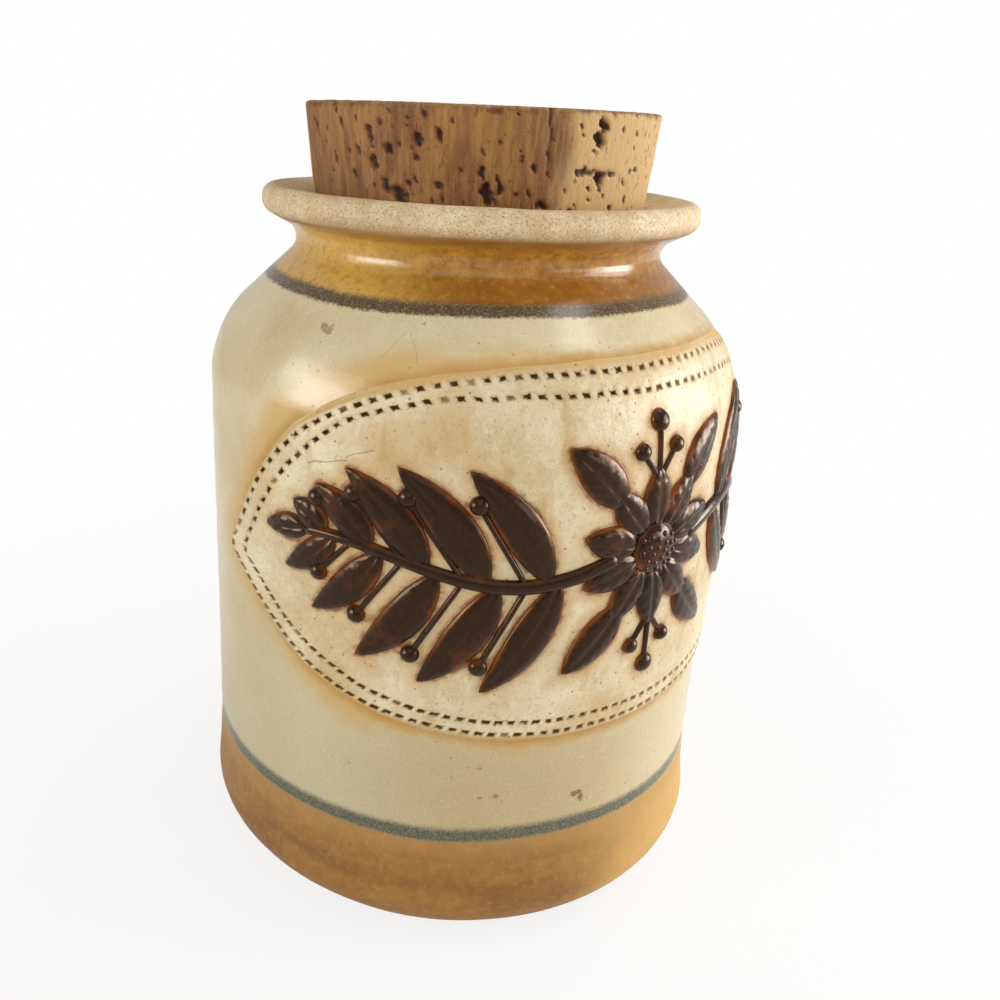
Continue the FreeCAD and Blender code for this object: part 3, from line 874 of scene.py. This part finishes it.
def slab_ring(shares, offset, out_of, row=None):
    """The places of one ring of the slab. Its offset counts inwards from the oval, or from the outer (0) or
    inner (1) row, or the mean of the two (2); out_of gives how far out it lies for a height up.
    Towards the middle of the slab the columns even out, so that its upper and lower half meet."""
    ring = []
    even = smooth(8.0, 30.0, offset) if row is None else 0.0
    for number, share in enumerate(shares):
        turn = turn_at(mix(share, number / len(shares), even))
        outer, inner = rows_at(turn)
        start = 0.0 if row is None else (outer, inner, (outer + inner) / 2)[row]
        unit = unit_oval(turn)
        along, up = oval(unit, start + offset)
        ring.append(Vector((along, up, out_of(up))))
    return ring


def make_medallion(relief_tree):
    """The slab from ring after ring, its dashes pressed in, then bent round the jar."""
    draw = random.Random(5)
    length = MARK_PITCH * MARKS
    shares = []
    for number in range(MARKS):
        middle = mark_share(number + 0.5) + draw.uniform(-0.1, 0.1) / length
        half = MARK_LENGTH * draw.uniform(0.85, 1.1) * (1.0 if number < TOP_MARKS else 1.2) / length / 2
        shares += [middle - half, middle + half]
    bm = bmesh.new()
    column = bm.verts.layers.int.new("column")
    inset_layer = bm.verts.layers.float.new("inset")
    rim_layer = bm.verts.layers.float.new("rim")
    near_layer = bm.verts.layers.float.new("near")
    roulette = bm.loops.layers.uv.new("roulette")
    first = bmesh.ops.create_circle(bm, segments=len(shares), radius=1.0)["verts"]
    first.sort(key=lambda vert: math.atan2(vert.co.y, vert.co.x) % math.tau)
    for i, (vert, place) in enumerate(zip(first, slab_ring(shares, -2.6, lambda up: -1.2, 0))):
        vert[column] = i
        vert[inset_layer] = -1.6
        vert.co = place
    start_edges = bm.edges[:]

    def slab(share, more=0.0):
        return lambda up: slab_thickness(up) * share + more

    # each ring: offset, what it counts from, its place on the roulette's sheet, height, whether dashed
    half = MARK_HEIGHT / 2
    rings = [(-1.9, 0, -0.9, slab(0.0, -0.06), False), (-1.5, 0, -0.5, slab(0.10), False),
             (-1.2, 0, -0.2, slab(0.42), False), (-0.95, 0, 0.05, slab(0.8), False),
             (-0.72, 0, 0.28, slab(1.0, -0.04), False), (-half, 0, 1 - half, slab(1.0), False),
             (half, 0, 1 + half, slab(1.0), True), (0.0, 2, 2.5, slab(1.0, 0.10), False),
             (-half, 1, 4 - half, slab(1.0), False), (half, 1, 4 + half, slab(1.0), True),
             (half + 0.4, 1, 4.9, slab(1.0, 0.04), False)]
    inset = 7.2
    while inset < MEDALLION_HALF_HEIGHT - 0.3:
        rings.append((inset, None, inset, slab(1.0), False))
        inset += 0.8
    rings.append((MEDALLION_HALF_HEIGHT, None, 34.0, slab(1.0), False))
    marks = []
    edges = start_edges
    for offset, row, sheet, out_of, dashed in rings:
        edges, faces = grow_ring(bm, edges, slab_ring(shares, offset, out_of, row))
        for vert in {vert for edge in edges for vert in edge.verts}:
            vert[inset_layer] = sheet
        if dashed:
            for face in faces:
                ends = sorted({vert[column] for vert in face.verts})
                if ends[0] % 2 == 0 and ends[1] == ends[0] + 1:
                    marks.append(face)
    edges = start_edges
    for inset in (1.0, 8.0, 16.0, 24.0, MEDALLION_HALF_HEIGHT):
        edges, _ = grow_ring(bm, edges, slab_ring(shares, inset, lambda up: -6.0))
    dash = MARK_LENGTH / MARK_PITCH
    for face in bm.faces:
        last = max(vert[column] for vert in face.verts) == len(shares) - 1
        for loop in face.loops:
            number, end = divmod(loop.vert[column], 2)
            if last and loop.vert[column] == 0:
                number = MARKS
            loop[roulette].uv = (number + 0.5 + (dash if end else -dash) / 2, loop.vert[inset_layer])
    bmesh.ops.inset_individual(bm, faces=marks, thickness=MARK_SLOPES[0], depth=0.0, use_even_offset=True,
                               use_interpolate=True)
    for face in marks:
        for vert in face.verts:
            vert.co.z -= min(MARK_STEP, MARK_SHARE * slab_thickness(vert.co.y))
    bmesh.ops.inset_individual(bm, faces=marks, thickness=MARK_SLOPES[1], depth=0.0, use_even_offset=True,
                               use_interpolate=True)
    for face in marks:
        sink = draw.uniform(*MARK_SINK)
        for vert in face.verts:
            vert.co.z -= min(sink, MARK_SHARE * slab_thickness(vert.co.y))
    rim_tree = tree_of(edge_points(EDGE_POINTS, EDGE_BEYOND))
    for vert in bm.verts:
        flat = Vector((vert.co.x, vert.co.y, 0))
        vert[rim_layer] = rim_tree.find(flat)[2]
        vert[near_layer] = relief_tree.find(flat)[2]
        if vert.co.z > -1:
            vert.co.z += 0.16 * noise.noise(vert.co / 11) * smooth(0.5, 4.0, vert[rim_layer])
    for vert in bm.verts:
        vert.co = onto_wall(vert.co)
    finish_mesh("medallion", bm, medallion_glaze())


# ---------------------------------------------------------------- the relief

def lay_leaf(bm, leaf, height, around=36, along=30):
    """One leaf from a ball: its poles become base and tip, its lower half is sunk into the slab."""
    thin = bm.verts.layers.float["thin"]
    made = bmesh.ops.create_uvsphere(bm, u_segments=around, v_segments=along, radius=1.0)["verts"]
    for vert in made:
        share = (1 + vert.co.z) / 2
        ring = math.hypot(vert.co.x, vert.co.y)
        side, rise = (vert.co.x / ring, vert.co.y / ring) if ring > 1e-5 else (0.0, 0.0)
        share = min(1.0, max(0.0, share))
        middle, across = leaf_point(leaf, share)
        half = leaf_half_width(leaf, share)
        end = (4 * share * (1 - share)) ** 0.35
        if rise > 0:
            out = height * end * (1 - abs(side) ** 2.6) ** 0.6
            out -= 0.45 * math.exp(-(side * half / 0.42) ** 2) * end * (1 - share) ** 0.3
            reach = share * leaf["length"] - abs(side) * half * 1.1
            ripple = 0.5 + 0.5 * math.cos(math.tau * reach / 2.7)
            out -= 0.22 * ripple ** 4 * smooth(0.1, 0.35, abs(side)) * smooth(0.95, 0.7, abs(side)) * end
        else:
            out = -0.6 * abs(rise)
        vert[thin] = max(abs(side) ** 2.5, abs(2 * share - 1) ** 7) if rise > -0.2 else 1.0
        vert.co = middle + across * side * half
        vert.co.z = out


def lay_strand(bm, path_of, count, width_of, height, around=14):
    """A raised line of clay along a path, from a ball drawn out between its ends."""
    thin = bm.verts.layers.float["thin"]
    made = bmesh.ops.create_uvsphere(bm, u_segments=around, v_segments=count, radius=1.0)["verts"]
    for vert in made:
        share = 0.5 - math.asin(max(-1.0, min(1.0, vert.co.z))) / math.pi
        ring = math.hypot(vert.co.x, vert.co.y)
        side, rise = (vert.co.x / ring, vert.co.y / ring) if ring > 1e-5 else (0.0, 0.0)
        middle = path_of(share)
        heading = (path_of(min(1, share + 0.01)) - path_of(max(0, share - 0.01))).normalized()
        across = Vector((-heading.y, heading.x, 0))
        half = width_of(share) / 2 * (1 if ring > 1e-5 else 0)
        vert[thin] = abs(side) ** 2.0 * 0.9
        vert.co = middle + across * side * half
        vert.co.z = max(rise, -0.6) * height


def lay_dome(bm, middle, radius, height, around=18, along=12, lift=0.0):
    thin = bm.verts.layers.float["thin"]
    made = bmesh.ops.create_uvsphere(bm, u_segments=around, v_segments=along, radius=1.0)["verts"]
    for vert in made:
        side = math.hypot(vert.co.x, vert.co.y)
        vert[thin] = side ** 4
        vert.co = Vector((middle.x + vert.co.x * radius, middle.y + vert.co.y * radius,
                          lift + max(vert.co.z, -0.5) * height))


def relief_mesh():
    bm = bmesh.new()
    bm.verts.layers.float.new("thin")
    return bm


def bend_relief(bm):
    """Lays the flat drawing on the slab's face and round the jar."""
    for vert in bm.verts:
        vert.co = onto_wall(vert.co + Vector((0, 0, slab_thickness(vert.co.y))))


def make_relief(material):
    stems = relief_mesh()
    for side in (-1, 1):
        lay_strand(stems, lambda share, side=side: sprig_stem(side, share), 60,
                   lambda share: mix(3.2, 2.0, share), 1.1)
    for base, middle, radius in BERRIES:
        lay_strand(stems, lambda share, a=base, b=middle: a.lerp(b, share), 12,
                   lambda share: 1.1, 0.7, around=10)
    leaves = relief_mesh()
    for leaf in LEAVES:
        lay_leaf(leaves, leaf, RELIEF_HEIGHT)
    flower = relief_mesh()
    for petal in PETALS:
        lay_leaf(flower, petal, RELIEF_HEIGHT)
    lay_dome(flower, Vector((0, 0, 0)), 5.0, 1.9, around=28, along=18)
    for i in range(24):
        reach = 4.4 * math.sqrt((i + 0.5) / 24)
        turn = i * math.pi * (3 - math.sqrt(5))
        lift = 1.9 * math.sqrt(1 - (reach / 5.0) ** 2) - 0.15
        lay_dome(flower, Vector((reach * math.cos(turn), reach * math.sin(turn), 0)), 0.62, 0.5,
                 around=10, along=8, lift=lift)
    berries = relief_mesh()
    for _, middle, radius in BERRIES:
        lay_dome(berries, middle, radius, 1.5)
    for name, bm in (("relief_stems", stems), ("relief_leaves", leaves), ("relief_flower", flower),
                     ("relief_berries", berries)):
        bend_relief(bm)
        finish_mesh(name, bm, material)


# ---------------------------------------------------------------- the cork

CORK_STEPS = 460
CORK_PLAIN = 136.0      # below this height the cork is out of sight and left plain
CORK_SPREAD = 34        # the radius in mm at which places on its side are laid flat
CORK_FISSURES = [
    # lenticels of the front: degrees round, mm up, half width, half height, depth
    (-99.0, 149.8, 0.5, 1.5, 0.6), (-88.4, 145.7, 0.5, 1.6, 0.7), (-72.2, 149.0, 0.6, 2.2, 0.8),
    (-71.6, 145.0, 0.9, 1.6, 1.1), (-65.4, 147.2, 0.9, 1.1, 1.2), (-66.5, 140.6, 1.0, 1.7, 0.9),
    (-62.0, 139.4, 1.5, 1.5, 1.2), (-59.0, 141.5, 0.5, 1.2, 0.6), (-56.2, 149.3, 0.8, 1.4, 1.1),
    (-56.8, 146.4, 0.6, 0.8, 0.7), (-49.8, 149.8, 0.5, 1.6, 0.8), (-59.3, 152.4, 0.6, 0.5, 0.6),
    (-54.3, 153.2, 0.5, 0.6, 0.6), (-49.5, 141.6, 0.7, 0.6, 0.7), (-37.0, 143.4, 0.6, 1.6, 0.9),
    (-35.6, 140.4, 1.1, 2.0, 1.3), (-31.8, 141.8, 0.6, 1.2, 0.9), (-18.7, 138.9, 1.3, 0.6, 0.8),
    (-22.6, 145.3, 0.5, 0.5, 0.6), (-1.0, 152.6, 0.9, 1.4, 1.3), (-1.6, 150.4, 1.2, 1.3, 1.4),
    (-4.4, 144.6, 2.6, 0.55, 0.7), (2.6, 144.4, 2.4, 0.5, 0.6), (0.4, 143.5, 1.0, 1.0, 1.4),
    (18.4, 145.1, 1.1, 0.3, 0.4), (-8.9, 138.4, 0.8, 0.5, 0.7), (7.2, 138.6, 0.6, 0.5, 0.6),
    (-27.0, 148.0, 0.35, 0.5, 0.5), (-43.5, 144.4, 0.35, 0.4, 0.4), (-79.0, 142.6, 0.4, 1.0, 0.5),
    (-92.0, 141.0, 0.5, 0.9, 0.5), (-84.0, 151.0, 0.35, 1.3, 0.5), (-77.0, 146.8, 0.3, 1.0, 0.5),
    (-68.6, 151.6, 0.4, 0.7, 0.5), (-46.0, 152.0, 0.3, 0.8, 0.4), (-12.0, 141.6, 0.3, 0.5, 0.4),
]
CORK_CRACK = (-18.6, -17.6, 140.0, 155.0)        # its angle at the top and bottom, and its heights


def cork_pits():
    """Every lenticel: the fissures above, then scattered ones round the back, in clusters, and on top."""
    draw = random.Random(23)
    side, top = list(CORK_FISSURES), []
    for _ in range(26):
        turn, up = draw.uniform(38, 245), draw.uniform(139, 153)
        for _ in range(draw.randint(2, 5)):
            size = draw.random()
            side.append((turn + draw.gauss(0, 3.5), up + draw.gauss(0, 2.6), mix(0.35, 1.1, size),
                         mix(0.5, 2.0, size), mix(0.5, 1.3, size)))
    for _ in range(190):
        side.append((draw.uniform(-180, 180), draw.uniform(137, 154.6), draw.uniform(0.22, 0.4),
                     draw.uniform(0.22, 0.7), draw.uniform(0.25, 0.5)))
    for _ in range(34):
        turn, reach = draw.uniform(0, math.tau), 32 * math.sqrt(draw.random())
        for _ in range(draw.randint(2, 6)):
            size = draw.random() ** 2
            top.append((reach * math.cos(turn) + draw.gauss(0, 2.5), reach * math.sin(turn) + draw.gauss(0, 1.2),
                        mix(0.3, 1.9, size), mix(0.3, 0.8, size), mix(0.4, 1.3, size)))
    return side, top


def crack_share(turn, height):
    """How much of the upright crack's depth a place of the side has."""
    start, end, low, high = CORK_CRACK
    middle = mix(end, start, (height - low) / (high - low)) + 0.9 * noise.noise(Vector((0, 0, height / 2.2)))
    off = abs(math.radians(turn - middle)) * CORK_TOP
    return smooth(0.42, 0.06, off) * smooth(low, high - 2, height)


def make_cork():
    corners = [
        (0, CORK_LOW.z, 0, 8.0),
        (CORK_BOTTOM, CORK_LOW.z, 0.8, 4.0),
        (mix(CORK_BOTTOM, CORK_TOP, 0.36), mix(CORK_LOW.z, CORK_HIGH.z, 0.36), 0, 0.42),
        (CORK_TOP, CORK_HIGH.z, 0.8, 0.42),
        (26.0, CORK_HIGH.z, 0, 0.7),
        (0, CORK_HIGH.z, 0, 0),
    ]
    bm = turned(corners, CORK_STEPS)
    side_pits, top_pits = cork_pits()
    side_tree = tree_of([Vector((math.radians(turn) * CORK_SPREAD, height, 0)) for turn, height, *_ in side_pits])
    top_tree = tree_of([Vector((x, y, 0)) for x, y, *_ in top_pits])
    pit_layer = bm.verts.layers.float.new("pit")
    for vert in bm.verts:
        place = vert.co
        radius = math.hypot(place.x, place.y)
        if place.z < CORK_PLAIN or radius < 0.5:
            continue
        outward = Vector((place.x, place.y, 0)) / radius
        on_top = place.z > CORK_HIGH.z - 0.3 and radius < CORK_TOP - 0.5
        ragged = noise.noise(place * 0.9) * 0.7 + noise.noise(place * 2.1) * 0.4
        deepest = 0.0
        if on_top:
            spot = Vector((place.x, place.y, 0))
            found = [(top_pits[i], spot.x - top_pits[i][0], spot.y - top_pits[i][1])
                     for _, i, _ in top_tree.find_range(spot, 3.5)]
        else:
            spot = Vector((math.atan2(place.x, -place.y) * CORK_SPREAD, place.z, 0))
            found = [(side_pits[i], spot.x - math.radians(side_pits[i][0]) * CORK_SPREAD, spot.y - side_pits[i][1])
                     for _, i, _ in side_tree.find_range(spot, 4.5)]
        for (_, _, half_width, half_height, depth), dx, dy in found:
            slant = 0 if on_top else 0.28 * dy
            reach = math.hypot((dx + slant) / half_width, dy / half_height) / 1.2 + ragged
            sunk = smooth(1.1, 0.35, reach)
            deepest = max(deepest, sunk * depth)
            vert[pit_layer] = max(vert[pit_layer], sunk)
        if not on_top:
            split = crack_share(math.degrees(math.atan2(place.x, -place.y)), place.z)
            deepest = max(deepest, 0.8 * split)
            vert[pit_layer] = max(vert[pit_layer], 0.6 * split)
        rim = bump(math.hypot(radius - CORK_TOP, place.z - CORK_HIGH.z), 0.0, 2.2)
        chip = max(0.0, noise.noise(outward * 9 + Vector((0, 0, 3))) - 0.05) * 1.6
        chip += max(0.0, noise.noise(outward * 30)) * 0.8
        vert[pit_layer] = max(vert[pit_layer], min(0.8, rim * chip * 0.9))
        grain = 0.10 * noise.noise(Vector((outward.x * 46, outward.y * 46, place.z * 0.12)))
        if on_top:
            place.z -= deepest + 0.12 * abs(noise.noise(place * 0.8))
        else:
            place -= outward * (deepest + 0.05 + grain)
        place.z -= rim * chip * 0.8
        place -= outward * rim * chip * 0.5
    piece = finish_mesh("cork", bm, cork_bark())
    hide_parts("stopper")


# ---------------------------------------------------------------- camera, lamps and floor

def make_camera():
    data = bpy.data.cameras.new("camera")
    data.sensor_width = 36.0
    data.lens = 34.495
    data.shift_x = 0.0672
    data.shift_y = -0.0694
    data.clip_start = 0.01
    camera = bpy.data.objects.new("camera", data)
    bpy.context.collection.objects.link(camera)
    turn = (Matrix.Rotation(math.radians(-35.94), 4, "Z") @ Matrix.Rotation(math.radians(90 - 17.81), 4, "X")
            @ Matrix.Rotation(math.radians(2.42), 4, "Z"))
    camera.matrix_world = Matrix.Translation(Vector((-123.69, -158.31, 151.8)) * MM) @ turn
    bpy.context.scene.camera = camera


LAMPS = [
    # name, direction, distance, width, height in m, power in W, whether it shows in the gloss, lights the jar
    ("left_window", (-0.95, 0.14, 0.20), 0.9, 0.42, 0.26, 2.3, True, True),
    ("left_gleam", (-0.94, 0.18, 0.22), 0.9, 0.64, 0.50, 3.6, True, False),
    ("right_window", (0.80, -0.58, 0.12), 0.9, 0.36, 0.28, 2.6, True, True),
    ("right_gleam", (0.76, -0.62, 0.12), 0.9, 0.54, 0.80, 8.0, True, False),
    ("right_glow", (0.40, -0.90, 0.14), 0.9, 0.50, 0.20, 0.8, True, True),
    ("right_wall", (0.97, -0.15, 0.25), 1.2, 1.80, 1.60, 14.0, False, True),
    ("ceiling", (0.43, -0.22, 0.88), 1.1, 0.40, 0.22, 1.3, True, True),
    ("front_fill", (-0.45, -0.65, 0.85), 1.1, 1.0, 1.0, 2.4, True, True),
]


def make_lamp(name, direction, distance, width, height, power, mirrored, cast):
    """An oblong soft lamp that looks at the jar's middle: it may show in the gloss, light the jar, or both."""
    data = bpy.data.lights.new(name, "AREA")
    data.shape = "RECTANGLE"
    data.size = width
    data.size_y = height
    data.energy = power
    lamp = bpy.data.objects.new(name, data)
    bpy.context.collection.objects.link(lamp)
    middle = Vector((0, 0, 0.08))
    lamp.location = middle + Vector(direction).normalized() * distance
    lamp.rotation_euler = Vector(direction).to_track_quat("Z", "Y").to_euler()
    lamp.visible_glossy = mirrored
    lamp.visible_diffuse = cast


def make_studio():
    bm = bmesh.new()
    bmesh.ops.create_grid(bm, x_segments=2, y_segments=2, size=4.0)
    mesh = bpy.data.meshes.new("floor")
    bm.to_mesh(mesh)
    bm.free()
    mesh.materials.append(studio_white())
    floor = bpy.data.objects.new("floor", mesh)
    bpy.context.collection.objects.link(floor)
    floor.location.z = -0.0002

    world = bpy.data.worlds.new("studio")
    bpy.context.scene.world = world
    tree = cleared_tree(world)
    room = add(tree, "Background", {"Color": "#FFFAF2", "Strength": 0.45})
    white = add(tree, "Background", {"Color": "#FFFFFF", "Strength": 1.0})
    both = add(tree, "MixShader", {0: seen_directly(tree), 1: room, 2: white})
    add(tree, "OutputWorld", {"Surface": both})

    for lamp in LAMPS:
        make_lamp(*lamp)


jar_mesh, PROFILE = make_jar_body()
finish_jar_body(jar_mesh)
RELIEF_TREE = tree_of(relief_outline())
make_medallion(RELIEF_TREE)
make_relief(iron_glaze())
make_cork()
make_camera()
make_studio()

bpy.context.scene.view_settings.view_transform = "Standard"
